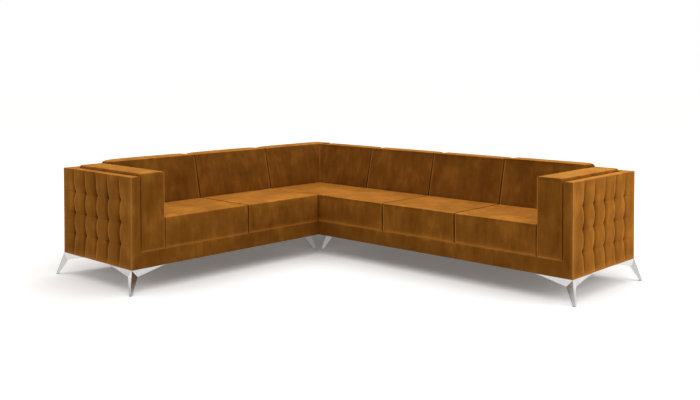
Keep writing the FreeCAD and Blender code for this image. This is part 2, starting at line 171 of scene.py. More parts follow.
def paintedFrontEdges(p, size, away, width, below=frontEdgePaint["below"]):
    # painted highlight just inside the front's edges, mostly the lower one and the one towards the
    # corner of the sofa; painted shade behind them, from below the part of the sides that shows
    def line(inside):
        return fade(inside - away, width) if inside > away else 1.0

    behind = size.y - p.y
    if behind > frontEdgePaint["flat"]:
        setIn = ease(behind / frontEdgePaint["behind"]) * ease((size.z - p.z) / below)
        return -frontEdgePaint["paintedShade"] * setIn
    return max(line(min(p.x, p.z)), frontEdgePaint["farLine"] * line(size.x - p.x))


def markPoints(piece, name, values):
    layer = piece.data.attributes.new(name, "FLOAT", "POINT")
    layer.data.foreach_set("value", values)


def finishMesh(piece, levels=1):
    pick(piece)
    if levels:
        bpy.ops.object.modifier_add(type="SUBSURF")
        soft = piece.modifiers[-1]
        soft.levels = soft.render_levels = levels
        bpy.ops.object.modifier_apply(modifier=soft.name)
    bpy.ops.object.mode_set(mode="EDIT")
    bpy.ops.mesh.select_all(action="SELECT")
    bpy.ops.mesh.normals_make_consistent(inside=False)
    bpy.ops.object.mode_set(mode="OBJECT")
    bpy.ops.object.shade_smooth_by_angle(angle=math.radians(60))
    # 1 where the cover faces up, for painted light that makes the tops lighter
    facing = [(v.normal.z - topLightPaint["from"]) / topLightPaint["over"] for v in piece.data.vertices]
    markPoints(piece, "paintedTopLight", [ease(up) for up in facing])


cloth = {"pressure": 3.0, "frames": 20, "quality": 3, "mass": 0.25, "stretch": 25, "bend": 0.6,
         "seamReach": 0.6}


def sewnDown(p, size, radius):
    # true along the edges of a block and over its foot, where the cover can't swell
    reach = radius * cloth["seamReach"]
    onEdges = sum(1 for k in range(3) if min(p[k], size[k] - p[k]) < reach)
    return onEdges > 1 or p.z < reach


def puff(piece, sewn, cap):
    # lets the cover swell a little as cloth under pressure, with its seams held
    pick(piece)
    start = [v.co.copy() for v in piece.data.vertices]
    group = piece.vertex_groups.new(name="held")
    group.add([i for i, held in enumerate(sewn) if held], 1.0, "REPLACE")
    bpy.ops.object.modifier_add(type="CLOTH")
    soft = piece.modifiers[-1]
    values = soft.settings
    values.quality = cloth["quality"]
    values.mass = cloth["mass"]
    values.tension_stiffness = values.compression_stiffness = cloth["stretch"]
    values.shear_stiffness = cloth["stretch"] / 2
    values.bending_stiffness = cloth["bend"]
    values.use_pressure = True
    values.uniform_pressure_force = cloth["pressure"]
    values.effector_weights.gravity = 0
    values.vertex_group_mass = group.name
    for number in range(1, cloth["frames"] + 1):
        scene.frame_set(number)
    swollen = piece.evaluated_get(bpy.context.evaluated_depsgraph_get())
    moved = [v.co.copy() for v in swollen.data.vertices]
    piece.modifiers.remove(soft)
    for v, before, after in zip(piece.data.vertices, start, moved):
        step = after - before
        if step.length > cap:
            step *= cap / step.length
        v.co = before + step
    scene.frame_set(1)


# places in the sofa: the directions of the two runs, along the seats and from rear to front

runs = {
    "right": {"along": Vector((1, 0, 0)), "forward": Vector((0, -1, 0))},
    "left": {"along": Vector((0, -1, 0)), "forward": Vector((1, 0, 0))},
}


def inRun(run, low, high):
    # a way from block coordinates (along, forward, up) into the sofa's frame, and the block's size
    along = runs[run]["along"]
    forward = runs[run]["forward"]
    size = high - low
    start = Vector((low.x, high.y, low.z))
    extent = Vector((abs(along.dot(size)), abs(forward.dot(size)), size.z))

    def place(p):
        return start + along * p[0] + forward * p[1] + Vector((0, 0, p[2]))

    return place, extent


def boxOf(*names):
    boxes = [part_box(name) for name in names]
    low = Vector([min(b[0][k] for b in boxes) for k in range(3)])
    high = Vector([max(b[1][k] for b in boxes) for k in range(3)])
    return low, high


def trimmed(name, run, start=0.0, end=0.0):
    # a piece's box with its two ends along the run drawn in, or let out where negative
    low, high = boxOf(name)
    if run == "right":
        low.x += start
        high.x -= end
    else:
        high.y -= start
        low.y += end
    return low, high


def keepInside(p, low, high, over):
    # back into the piece's box, apart from a little over its top
    top = (high.x, high.y, high.z + over)
    return [min(max(p[k], low[k]), top[k]) for k in range(3)]


# shader nodes, each with its values; a value that is another node's output is wired in

def feed(tree, node, values):
    for socket, value in values.items():
        if isinstance(value, bpy.types.NodeSocket):
            tree.links.new(value, node.inputs[socket])
        else:
            node.inputs[socket].default_value = value
    return node


def objectPlace(tree):
    return tree.nodes.new("ShaderNodeTexCoord").outputs["Object"]


def addNoise(tree, vector, scale, detail, roughness=0.5, distortion=0.0):
    values = {"Vector": vector, "Scale": scale, "Detail": detail, "Roughness": roughness,
              "Distortion": distortion}
    return feed(tree, tree.nodes.new("ShaderNodeTexNoise"), values).outputs["Fac"]


def addRange(tree, value, start, end, low=0.0, high=1.0, smooth=False):
    # takes low to high onto start to end
    node = tree.nodes.new("ShaderNodeMapRange")
    if smooth:
        node.interpolation_type = "SMOOTHSTEP"
    values = {"Value": value, "From Min": low, "From Max": high, "To Min": start, "To Max": end}
    return feed(tree, node, values).outputs["Result"]


def addMix(tree, share, first, second, kind="RGBA"):
    node = tree.nodes.new("ShaderNodeMix")
    node.data_type = kind
    a, b, result = {"RGBA": (6, 7, 2), "FLOAT": (2, 3, 0)}[kind]
    return feed(tree, node, {0: share, a: first, b: second}).outputs[result]


def addMath(tree, operation, first, second, clamp=False):
    node = tree.nodes.new("ShaderNodeMath")
    node.operation = operation
    node.use_clamp = clamp
    return feed(tree, node, {0: first, 1: second}).outputs[0]


def addMark(tree, name):
    # a value that the mesh carries at each point
    node = tree.nodes.new("ShaderNodeAttribute")
    node.attribute_name = name
    return node.outputs["Fac"]


def addBump(tree, height, shader, strength, distance):
    bump = tree.nodes.new("ShaderNodeBump")
    feed(tree, bump, {"Height": height, "Strength": strength, "Distance": distance})
    feed(tree, shader, {"Normal": bump.outputs["Normal"]})


def newGroup(name, inputs, outputs):
    group = bpy.data.node_groups.new(name, "ShaderNodeTree")
    for label, kind, value in inputs:
        socket = group.interface.new_socket(label, in_out="INPUT", socket_type=kind)
        socket.default_value = value
    for label, kind in outputs:
        group.interface.new_socket(label, in_out="OUTPUT", socket_type=kind)
    start = group.nodes.new("NodeGroupInput")
    end = group.nodes.new("NodeGroupOutput")
    return group, start, end


def newMaterial(name):
    material = bpy.data.materials.new(name)
    material.use_nodes = True
    tree = material.node_tree
    return material, tree, tree.nodes["Principled BSDF"]


nap = {
    "markDetail": 3, "markDistortion": 0.2, "strokeStretch": (1.0, 1.0, 0.3),
    "strokeDetail": 4, "strokeRoughness": 0.6, "strokeDistortion": 0.1, "pileDetail": 2,
    "strokeShare": 0.42, "deepTo": (0.36, 0.51), "brightFrom": (0.49, 0.64),
    "fleck": (0.90, 1.10), "roughness": (0.95, 0.72),
}


def makeNapGroup():
    # cut pile: broad marks where the nap lies differently, fine strokes, and the pile itself
    group, start, end = newGroup(
        "velvetNap",
        [
            ("Deep", "NodeSocketColor", (0.2, 0.07, 0.01, 1)),
            ("Body", "NodeSocketColor", (0.4, 0.15, 0.03, 1)),
            ("Bright", "NodeSocketColor", (0.6, 0.25, 0.06, 1)),
            # painted highlight, painted light on tops and painted shade in seams and folds
            ("Highlight Tone", "NodeSocketColor", (0.7, 0.30, 0.08, 1)),
            ("Highlight Share", "NodeSocketFloat", 0.6),
            ("Top Light Share", "NodeSocketFloat", 1.4),
            ("Seam", "NodeSocketColor", (0.05, 0.015, 0.002, 1)),
            ("Mark Scale", "NodeSocketFloat", 9.0),
            ("Stroke Scale", "NodeSocketFloat", 26.0),
            ("Pile Scale", "NodeSocketFloat", 900.0),
        ],
        [
            ("Color", "NodeSocketColor"),
            ("Roughness", "NodeSocketFloat"),
            ("Height", "NodeSocketFloat"),
        ],
    )
    asked = start.outputs
    place = objectPlace(group)
    marks = addNoise(group, place, asked["Mark Scale"], nap["markDetail"],
                     distortion=nap["markDistortion"])
    upright = group.nodes.new("ShaderNodeMapping")
    feed(group, upright, {"Vector": place, "Scale": nap["strokeStretch"]})
    strokes = addNoise(group, upright.outputs["Vector"], asked["Stroke Scale"],
                       nap["strokeDetail"], nap["strokeRoughness"], nap["strokeDistortion"])
    pile = addNoise(group, place, asked["Pile Scale"], nap["pileDetail"])
    lay = addMix(group, nap["strokeShare"], marks, strokes, "FLOAT")

    # the pile's own tone with a fleck in it, made lighter on top by painted light
    pastDeep = addRange(group, lay, 0, 1, *nap["deepTo"], smooth=True)
    pastBody = addRange(group, lay, 0, 1, *nap["brightFrom"], smooth=True)
    tone = addMix(group, pastDeep, asked["Deep"], asked["Body"])
    tone = addMix(group, pastBody, tone, asked["Bright"])
    topLightScale = addRange(group, addMark(group, "paintedTopLight"), 1.0, asked["Top Light Share"])
    fleck = addRange(group, pile, *nap["fleck"])
    speckled = group.nodes.new("ShaderNodeVectorMath")
    speckled.operation = "SCALE"
    feed(group, speckled, {0: tone, "Scale": addMath(group, "MULTIPLY", fleck, topLightScale)})

    # painted highlight along edges, painted shade down seams and folds
    edge = addMark(group, "edgeLightShade")
    lightShadeMarks = addMath(group, "MULTIPLY", edge, asked["Highlight Share"], clamp=True)
    tone = addMix(group, lightShadeMarks, speckled.outputs["Vector"], asked["Highlight Tone"])
    paintedShade = addRange(group, edge, 0, 1, 0, -1)
    tone = addMix(group, paintedShade, tone, asked["Seam"])
    roughness = addRange(group, lay, *nap["roughness"])
    feed(group, end, {"Color": tone, "Roughness": roughness, "Height": pile})
    return group


napGroup = makeNapGroup()

velvetLook = {
    "deep": (0.218, 0.074, 0.0065),
    "body": (0.285, 0.101, 0.0098),
    "bright": (0.385, 0.142, 0.0165),
    # tones of the painted highlight and painted shade, then the shares of the painted highlight
    # and the painted top light
    "highlightTone": (0.700, 0.300, 0.0550),
    "shadeTone": (0.060, 0.018, 0.0015),
    "highlightShare": 0.85, "topLightShare": 1.52, "markScale": 5.5, "strokeScale": 22.0,
    "sheenTint": (1.0, 0.46, 0.10, 1), "sheen": 1.0, "sheenRoughness": 0.32,
    "specular": 0.06, "bump": 0.25, "bumpDistance": 0.0006,
    # painted shade: how much darker the velvet's copies on the backs and the aprons are
    "backShadeShare": 0.655, "apronShadeShare": 0.92,
}


def makeVelvet(name, look, share=1.0):
    # share darkens every tone as painted shade, 1 as on the seats
    def shaded(tone):
        return [c * share for c in look[tone]] + [1]

    material, tree, shader = newMaterial(name)
    pile = tree.nodes.new("ShaderNodeGroup")
    pile.node_tree = napGroup
    feed(tree, pile, {
        "Deep": shaded("deep"), "Body": shaded("body"), "Bright": shaded("bright"),
        "Highlight Tone": shaded("highlightTone"), "Seam": shaded("shadeTone"),
        "Highlight Share": look["highlightShare"], "Top Light Share": look["topLightShare"] / share,
        "Mark Scale": look["markScale"], "Stroke Scale": look["strokeScale"],
    })
    feed(tree, shader, {
        "Sheen Weight": look["sheen"], "Sheen Roughness": look["sheenRoughness"],
        "Sheen Tint": look["sheenTint"], "Specular IOR Level": look["specular"],
        "Base Color": pile.outputs["Color"], "Roughness": pile.outputs["Roughness"],
    })
    addBump(tree, pile.outputs["Height"], shader, look["bump"], look["bumpDistance"])
    return material


polish = {"hazeScale": 35, "hazeDetail": 6, "roughness": (0.08, 0.15), "tone": (0.51, 0.62)}


def makeMetal():
    # polished, and slightly hazed by hand
    material, tree, shader = newMaterial("legPolish")
    haze = addNoise(tree, objectPlace(tree), polish["hazeScale"], polish["hazeDetail"])
    feed(tree, shader, {
        "Metallic": 1.0,
        "Roughness": addRange(tree, haze, *polish["roughness"]),
        "Base Color": addRange(tree, haze, *polish["tone"]),
    })
    return material


def makeGrain(name, dark, light, scale, roughness, bump):
    # timber with its grain, or a woven cloth where the scale is fine
    material, tree, shader = newMaterial(name)
    wave = tree.nodes.new("ShaderNodeTexWave")
    values = {"Vector": objectPlace(tree), "Scale": scale, "Distortion": 6, "Detail": 3}
    lines = feed(tree, wave, values).outputs["Fac"]
    tone = addMix(tree, lines, dark, light)
    feed(tree, shader, {"Base Color": tone, "Roughness": roughness})
    addBump(tree, lines, shader, bump, 0.0005)
    return material


def makeSpeckle(name, dark, light, scale, roughness, metallic=0):
    # plastic, felted cloth or satin steel: one tone broken by a fine noise
    material, tree, shader = newMaterial(name)
    fine = addNoise(tree, objectPlace(tree), scale, 3)
    tone = addMix(tree, fine, dark, light)
    feed(tree, shader, {"Base Color": tone, "Roughness": roughness, "Metallic": metallic})
    addBump(tree, fine, shader, 0.3, 0.0004)
    return material


velvet = makeVelvet("amberVelvet", velvetLook)
# painted shade: darker copies of the velvet for the backs and the aprons
velvetBackShade = makeVelvet("amberVelvetBackShade", velvetLook, velvetLook["backShadeShare"])  # on the backs
velvetApronShade = makeVelvet("amberVelvetApronShade", velvetLook, velvetLook["apronShadeShare"])  # on the aprons
legPolish = makeMetal()
timber = makeGrain("pineTimber", (0.42, 0.25, 0.11, 1), (0.66, 0.45, 0.24, 1), 7, 0.65, 0.3)
webbing = makeGrain("juteWebbing", (0.35, 0.29, 0.19, 1), (0.58, 0.50, 0.36, 1), 220, 0.9, 0.5)
platformCloth = makeSpeckle(
    "platformCloth", (0.10, 0.045, 0.012, 1), (0.20, 0.09, 0.025, 1), 700, 0.9)
dustCloth = makeSpeckle("dustCloth", (0.20, 0.19, 0.17, 1), (0.28, 0.27, 0.25, 1), 500, 0.95)
satinSteel = makeSpeckle(
    "satinSteel", (0.42, 0.42, 0.44, 1), (0.60, 0.60, 0.62, 1), 300, 0.35, 1)
glidePlastic = makeSpeckle(
    "glidePlastic", (0.02, 0.02, 0.02, 1), (0.05, 0.05, 0.05, 1), 400, 0.5)
print("materials made")


def dress(piece, material, body, nodes):
    piece.data.materials.clear()
    piece.data.materials.append(material)
    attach(piece, body)
    if nodes:
        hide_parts(*nodes)


# CAD nodes that show as they are take their own finish

slotFinish = {
    "frame_timber": timber,
    "webbing": webbing,
    "hardware_steel": satinSteel,
    "glide_plastic": glidePlastic,
    "leg_metal": legPolish,
}
for part in frame["record"]["subparts"]:
    finish = slotFinish.get(part["material_slot"])
    if finish:
        shown = frame["nodes"][part["node"]]
        shown.data.materials.clear()
        shown.data.materials.append(finish)


# seat cushions

seat = {
    "round": 0.010, "footRound": 0.004, "footShare": 0.3, "frontRound": 0.014, "cell": 0.017,
    "crown": 0.005, "over": 0.004, "bulge": 0.003, "sideDraw": 0.002, "frontFoot": 0.003,
    "gap": 0.0022, "cap": 0.006, "slack": 0.0012, "slackSize": 0.09,
    "edgeAway": 0.002, "edgeWidth": 0.005,
}


def seatCushion(name, run, start, end):
    low, high = trimmed(name, run, start, end)
    place, extent = inRun(run, low, high)
    size = Vector((extent.x, extent.y, extent.z - seat["crown"]))
    radius = seat["round"]
    piece = addBlock(name + "Velvet", size, [
        softPlaces(size.x, radius, seat["cell"]),
        softPlaces(size.y, radius, seat["cell"]),
        softPlaces(size.z, radius, seat["cell"], seat["footRound"]),
    ])
    sewn = []
    lightShadeMarks = []
    for v in piece.data.vertices:
        p = v.co.copy()
        u, w, h = p.x / size.x, p.y / size.y, p.z / size.z
        sewn.append(sewnDown(p, size, radius))
        # painted highlight on the front's edges, painted shade on the sides
        lightShadeMarks.append(paintedFrontEdges(p, size, seat["edgeAway"], seat["edgeWidth"]))
        around = seat["footRound"] + (radius - seat["footRound"]) * ease(h / seat["footShare"])
        p = rounded(p, size, around)
        p.y, p.z = roundPair(p.y, p.z, size.y, size.z, seat["frontRound"], around)
        p.z += seat["crown"] * dome(u) * dome(w) * h * h
        p.y -= seat["frontFoot"] * (1 - h) ** 2 * w
        p.y += seat["bulge"] * math.sin(math.pi * h) * dome(u) * w * w - seat["bulge"] * w
        p.x += (seat["gap"] + seat["sideDraw"] * math.sin(math.pi * w)) * (1 - 2 * u)
        v.co = place(p)
    puff(piece, sewn, seat["cap"])
    for v in piece.data.vertices:
        v.co.z += slack(v.co, seat["slackSize"], seat["slack"])
        v.co = keepInside(v.co, low, high, seat["over"])
    markPoints(piece, "edgeLightShade", lightShadeMarks)
    finishMesh(piece)
    dress(piece, velvet, name + "_body", [name])


# the run of each, and how far its two ends are drawn in to the seams
seatRuns = {
    "seat_corner": ("right", 0, 0),
    "seat_right_1": ("right", 0, 0),
    "seat_right_2": ("right", 0, 0.006),
    "seat_left_1": ("left", 0, 0.008),
    "seat_left_2": ("left", -0.008, 0.008),
}
for name, plan in seatRuns.items():
    seatCushion(name, *plan)
print("seat cushions made")


# back cushions, leaning back above the seat

back = {
    "round": 0.006, "frontRound": 0.010, "rearRound": 0.020, "endRound": 0.017, "cell": 0.018,
    "lean": 0.068, "crest": 0.005, "rise": 0.006, "outerRise": 0.004, "bulge": 0.003,
    "sideDraw": 0.0012, "gap": 0.0012, "cap": 0.006, "slack": 0.00075, "slackSize": 0.11,
    "edgeAway": 0.002, "edgeWidth": 0.005, "edgeTop": 0.03, "rearSewn": 0.05,
    "endDrop": 0.012, "endReach": 0.050,
}
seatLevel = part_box("seat_corner")[1][2] - seat["crown"]


def leanAt(z, top):
    return back["lean"] * max(0, z - seatLevel) / (top - seatLevel)


def backCushion(name, run, outerRise, besideCorner):
    low, high = boxOf(name)
    place, extent = inRun(run, low, high)
    top = high.z - back["crest"] + back["rise"] + outerRise
    size = Vector((extent.x, extent.y, top - low.z))
    radius = back["round"]
    piece = addBlock(name + "Velvet", size,
                     [softPlaces(size[k], radius, back["cell"]) for k in range(3)])
    sewn = []
    lightShadeMarks = []
    for v in piece.data.vertices:
        p = v.co.copy()
        u, w, h = p.x / size.x, p.y / size.y, p.z / size.z
        sewn.append(sewnDown(p, size, radius) or w < back["rearSewn"])
        # painted highlight on the front's edges, painted shade on the sides
        edges = paintedFrontEdges(p, size, back["edgeAway"], back["edgeWidth"])
        lightShadeMarks.append(edges * ease((size.z - p.z) / back["edgeTop"]))

        # rounded, more at the ends towards the rear
        p = rounded(p, size, radius)
        endRound = radius + (back["endRound"] - radius) * ease((1 - w) * 1.6)
        p.x, p.z = roundPair(p.x, p.z, size.x, size.z, endRound, radius)
        p.x, p.z = roundFarPair(p.x, p.z, size.x, size.z, endRound, radius)
        p.y, p.z = roundPair(p.y, p.z, size.y, size.z, back["frontRound"], radius)
        p.y, p.z = roundFarPair(p.y, p.z, size.y, size.z, back["rearRound"], radius)

        # domed on top, with its rear ends sloping down
        w = p.y / size.y
        p.z += back["crest"] * dome(u) * math.sin(math.pi * min(1, max(0, w))) * h ** 6
        near = 1 - min(1, min(p.x, size.x - p.x) / back["endReach"])
        p.z -= back["endDrop"] * (1 - math.sqrt(1 - near * near)) * ease((1 - w) * 1.5) * h ** 3

        # leant back
        lean = leanAt(low.z + p.z, top)
        p.y -= w * (lean + back["bulge"] * (1 - dome(u) * dome(h)))
        p.x += (back["gap"] + back["sideDraw"] * math.sin(math.pi * h) * w) * (1 - 2 * u)
        if besideCorner:
            # its inner end stays against the face of the cushion round the corner
            p.x += (back["lean"] - lean) * (1 - u)
        v.co = place(p)
    puff(piece, sewn, back["cap"])
    for v in piece.data.vertices:
        v.co += runs[run]["forward"] * slack(v.co, back["slackSize"], back["slack"])
    markPoints(piece, "edgeLightShade", lightShadeMarks)
    finishMesh(piece)
    # painted shade: the backs take the darker copy of the velvet
    dress(piece, velvetBackShade, "sofa", [name])


# the run of each, how much further it rises, and whether it is cut to the corner
backRuns = {
    "back_corner_left": ("left", 0, False),
    "back_left_1": ("left", 0, False),
    "back_left_2": ("left", 0, False),
    "back_right_1": ("right", 0, False),
    "back_right_2": ("right", 0, False),
    "back_right_3": ("right", back["outerRise"], False),
    "back_corner_right": ("right", 0, True),
}
for name, plan in backRuns.items():
    backCushion(name, *plan)
print("back cushions made")


# arm pads

armPad = {
    "round": 0.007, "topRound": 0.014, "frontRound": 0.0098, "footRound": 0.004,
    "footShare": 0.3, "cell": 0.018, "crown": 0.003, "bulge": 0.002, "frontFoot": 0.002,
    "cap": 0.004, "rightInward": 0.006, "leftInward": 0.008, "outward": 0.004,
    "rise": 0.004, "over": 0.006, "edgeAway": 0.002, "edgeWidth": 0.004, "edgeBelow": 0.06,
}


def makeArmPad(name, run, inward):
    low, high = trimmed(name, run, -inward, -armPad["outward"])
    place, extent = inRun(run, low, high)
    size = Vector((extent.x, extent.y, extent.z - armPad["crown"] + armPad["rise"]))
    radius = armPad["round"]
    topRound = armPad["topRound"]
    piece = addBlock(name + "Velvet", size, [
        softPlaces(size.x, topRound * 0.8, armPad["cell"]),
        softPlaces(size.y, topRound * 0.8, armPad["cell"]),
        softPlaces(size.z, topRound * 0.8, armPad["cell"], armPad["footRound"]),
    ])
    sewn = []
    lightShadeMarks = []
    for v in piece.data.vertices:
        p = v.co.copy()
        u, w, h = p.x / size.x, p.y / size.y, p.z / size.z
        sewn.append(sewnDown(p, size, radius))
        # painted highlight on the front's edges, painted shade on the sides
        lightShadeMarks.append(paintedFrontEdges(p, size, armPad["edgeAway"], armPad["edgeWidth"],
                                 armPad["edgeBelow"]))
        around = ease(h / armPad["footShare"])
        around = armPad["footRound"] + (radius - armPad["footRound"]) * around
        p = rounded(p, size, around)
        p.x, p.z = roundPair(p.x, p.z, size.x, size.z, topRound, radius)
        p.x, p.z = roundFarPair(p.x, p.z, size.x, size.z, topRound, radius)
        p.y, p.z = roundPair(p.y, p.z, size.y, size.z, armPad["frontRound"], radius)
        p.z += armPad["crown"] * dome(u) * dome(w) * h ** 4
        p.y -= armPad["bulge"] * (1 - dome(u) * dome(h)) * w
        p.y -= armPad["frontFoot"] * (1 - h) ** 6 * w
        v.co = place(p)
    puff(piece, sewn, armPad["cap"])
    for v in piece.data.vertices:
        v.co = keepInside(v.co, low, high, armPad["over"])
    markPoints(piece, "edgeLightShade", lightShadeMarks)
    finishMesh(piece)
    dress(piece, velvet, "sofa", [name])


makeArmPad("right_arm_pad", "right", armPad["rightInward"])
makeArmPad("left_arm_pad", "left", armPad["leftInward"])
print("arm pads made")


# tufted walls: sewn folds up the panel, softer folds across, pulled in where they meet

tufts = {
    "pitch": 0.133, "columnShift": 0.012, "rowsAt": (0.25, 0.49, 0.735),
    "fold": 0.0045, "crease": 0.006, "creaseWidth": 0.0045,
    "pull": 0.017, "pullAlong": 0.018, "pullUp": 0.024,
    "rowFold": 0.0014, "rowCrease": 0.0035, "rowWidth": 0.006, "rowFarShare": 0.2,
    "columnReach": 0.35, "edgeFade": 0.030, "edgeShare": 0.5, "endFlat": 0.02, "footFlat": 0.01,
    "round": 0.0035, "innerRound": 0.013, "sharp": 0.0004,
    "sinkShare": 0.6, "sinkPower": 1.5,
    "columnSteps": (0.002, 0.0045, 0.008, 0.013, 0.022, 0.038),
    "rowSteps": (0.003, 0.007, 0.014, 0.026, 0.044),
}

# painted light and shade on the walls: painted highlight on one side of each fold and along the
# edges, painted shade on the other side, in the pits and along the rows
tuftLightShade = {
    "crestAway": 0.009, "crestWidth": 0.0060, "crestShare": 0.45,
    "valleyAway": 0.006, "valleyWidth": 0.010, "valleyShare": 0.30,
    "pitShare": 0.6, "pitReach": 0.015, "pitWidth": 0.006,
    "rowShare": 0.40, "rowWidth": 0.005, "rowReach": 0.02, "rowFarShare": 0.15,
    "edgeWidth": 0.003, "edgeFrom": 0.05, "endFade": 0.03, "outerShare": 0.2,
}


def evenFolds(length, pitch):
    count = max(2, round(length / pitch))
    return [length / count * i for i in range(1, count)]


def foldPlaces(length, folds, steps, radius):
    # lines of the mesh: close together at each fold and at the rounded ends
    places = [0, radius * 0.5, radius, folds[0] * 0.3, folds[0] * 0.6]
    for before, fold in zip([None] + folds, folds):
        if before is not None:
            places.append((before + fold) / 2)
        places += [fold + d for d in steps] + [fold] + [fold - d for d in steps]
    rest = length - folds[-1]
    places += [length - rest * 0.6, length - rest * 0.3]
    places += [length - radius, length - radius * 0.5, length]
    return sorted(set(round(p, 6) for p in places))


def pastFold(x, folds):
    # signed distance from the nearest fold
    return min((x - fold for fold in folds), key=abs)


def tuftDepth(u, z, length, height, columns, rows):
    a = abs(pastFold(u, columns))
    b = abs(pastFold(z, rows))
    halfColumn = columns[0] / 2
    halfRow = rows[0] / 2
    fromEnd = min(u, length - u)
    fromFoot = min(z, height - z)
    full = tufts["edgeShare"] + (1 - tufts["edgeShare"]) * ease(fromFoot / tufts["edgeFade"])
    bowl = max(0, 1 - a / halfColumn) ** 3
    depth = (tufts["fold"] * bowl + tufts["crease"] * math.exp(-a / tufts["creaseWidth"])) * full
    depth += tufts["rowFold"] * max(0, 1 - b / halfRow) ** 2
    near = math.exp(-a / (halfColumn * tufts["columnReach"]))
    far = tufts["rowFarShare"]
    depth += tufts["rowCrease"] * (far + (1 - far) * near) * math.exp(-b / tufts["rowWidth"])
    pit = math.hypot(a / tufts["pullAlong"], b / tufts["pullUp"])
    depth += tufts["pull"] * math.exp(-pit)
    return depth * min(1, fromEnd / tufts["endFlat"]) * min(1, fromFoot / tufts["footFlat"])


def tuftLightShadeAt(p, length, height, thick, columns, rows):
    if p.y >= thick * tuftLightShade["outerShare"]:
        return 0.0
    past = pastFold(p.x, columns)
    across = abs(pastFold(p.z, rows))
    # painted highlight along the wall's edges
    fromEnd = math.hypot(min(p.x, length - p.x), p.y)
    edge = fade(min(fromEnd, math.hypot(p.z, p.y)), tuftLightShade["edgeWidth"])
    if edge > tuftLightShade["edgeFrom"]:
        return edge
    # painted highlight beside each fold, painted shade in its valley, in the pits and along the
    # rows
    foldLightShade = tuftLightShade["crestShare"] * fade(past - tuftLightShade["crestAway"], tuftLightShade["crestWidth"])
    foldLightShade -= tuftLightShade["valleyShare"] * fade(past + tuftLightShade["valleyAway"], tuftLightShade["valleyWidth"])
    pit = math.exp(-across / tuftLightShade["pitReach"]) * fade(past, tuftLightShade["pitWidth"])
    foldLightShade -= tuftLightShade["pitShare"] * pit
    far = tuftLightShade["rowFarShare"]
    reach = far + (1 - far) * math.exp(-abs(past) / tuftLightShade["rowReach"])
    foldLightShade -= tuftLightShade["rowShare"] * reach * fade(across, tuftLightShade["rowWidth"])
    return max(-1, foldLightShade * ease(min(p.z, height - p.z) / tuftLightShade["endFade"]))


xWay = Vector((1, 0, 0))
yWay = Vector((0, 1, 0))
apronLow, apronHigh = boxOf("right_apron")
apronMeets = {"end": 0.02, "behind": 0.04, "below": apronHigh.z - apronLow.z}


def tuftedWall(name, stem, corner, along, inward, meetsApron):
    panel = stem + "_panel"
    cover = stem + "_cover"
    low, high = boxOf(panel, cover)
    spanX = high.x - low.x
    spanY = high.y - low.y
    length, thick = (spanX, spanY) if along.y == 0 else (spanY, spanX)
    panelLow, panelHigh = boxOf(panel)
    height = panelHigh.z - panelLow.z
    size = Vector((length, thick, height))
    origin = Vector(((low, high)[corner[0]].x, (low, high)[corner[1]].y, panelLow.z))
    columns = [fold - tufts["columnShift"] for fold in evenFolds(length, tufts["pitch"])]
    rows = [height * share for share in tufts["rowsAt"]]
    radius = tufts["round"]
    inner = [radius * k for k in (3.6, 2.6, 1.6)]  # for the rolled inner edge
    piece = addBlock(name, size, [
        foldPlaces(length, columns, tufts["columnSteps"], radius),
        [0, radius * 0.5, radius, thick * 0.4] + [thick - d for d in inner]
        + [thick - radius, thick - radius * 0.5, thick],
        sorted(foldPlaces(height, rows, tufts["rowSteps"], radius) + [height - d for d in inner]),
    ])
    lightShadeMarks = []
    for v in piece.data.vertices:
        p = v.co.copy()
        # painted highlight and painted shade on the folds and edges
        lightShadeMarks.append(tuftLightShadeAt(p, length, height, thick, columns, rows))
        # the edge that meets the apron's face stays sharp, so the two read as one cover
        atApron = (meetsApron and p.x > length - apronMeets["end"]
                   and p.y > apronMeets["behind"] and p.z < apronMeets["below"])
        q = rounded(p, size, tufts["sharp"] if atApron else radius)
        q.y, q.z = roundPair(q.y, q.z, thick, height, tufts["innerRound"], radius)
        share = max(0, 1 - p.y / (thick * tufts["sinkShare"])) ** tufts["sinkPower"]
        q.y += tuftDepth(p.x, p.z, length, height, columns, rows) * share
        v.co = origin + along * q.x + inward * q.y + Vector((0, 0, q.z))
    markPoints(piece, "edgeLightShade", lightShadeMarks)
    finishMesh(piece)
    dress(piece, velvet, "sofa", [panel, cover])


# the CAD panel and cover of each wall, the corner of their box where it starts (0 the low side
# and 1 the high side, in x and y), its direction, the way inward, and if an apron meets its end
wallPlans = {
    "rightArmWall": ("right_arm", (1, 1), -yWay, -xWay, True),
    "leftArmWall": ("left_arm", (0, 0), xWay, yWay, True),
    "rightBackWall": ("right_back", (1, 1), -xWay, -yWay, False),
    "cornerSideWall": ("corner_side", (0, 1), -yWay, xWay, False),
    "leftBackWall": ("left_back", (0, 1), -yWay, xWay, False),
}
for name, plan in wallPlans.items():
    tuftedWall(name, *plan)
print("tufted walls made")


# aprons under the seats

apron = {"round": 0.0035, "cell": 0.03}


def makeApron(name, run, startPast, endPast):
    # each end may run on into the piece beside it, so that its rounding doesn't show
    low, high = boxOf(name)
    place, extent = inRun(run, low, high)
    radius = apron["round"]
    size = Vector((extent.x + startPast + endPast, extent.y, extent.z))
    piece = addBlock(name + "Velvet", size,
                     [softPlaces(size[k], radius * 0.9, apron["cell"]) for k in range(3)])
    for v in piece.data.vertices:
        p = rounded(v.co.copy(), size, radius)
        p.x -= startPast
        v.co = place(p)
    finishMesh(piece)
    # painted shade: the aprons take a darker copy of the velvet
    dress(piece, velvetApronShade, "sofa", [name])


makeApron("right_apron", "right", 0, apron["round"])
makeApron("left_apron", "left", apron["round"], apron["round"])
print("aprons made")


# platforms under the loose seats, with rows of stitching

platform = {"round": 0.003, "cell": 0.02, "rowPitch": 0.13, "rowDepth": 0.0022, "rowWidth": 0.006}


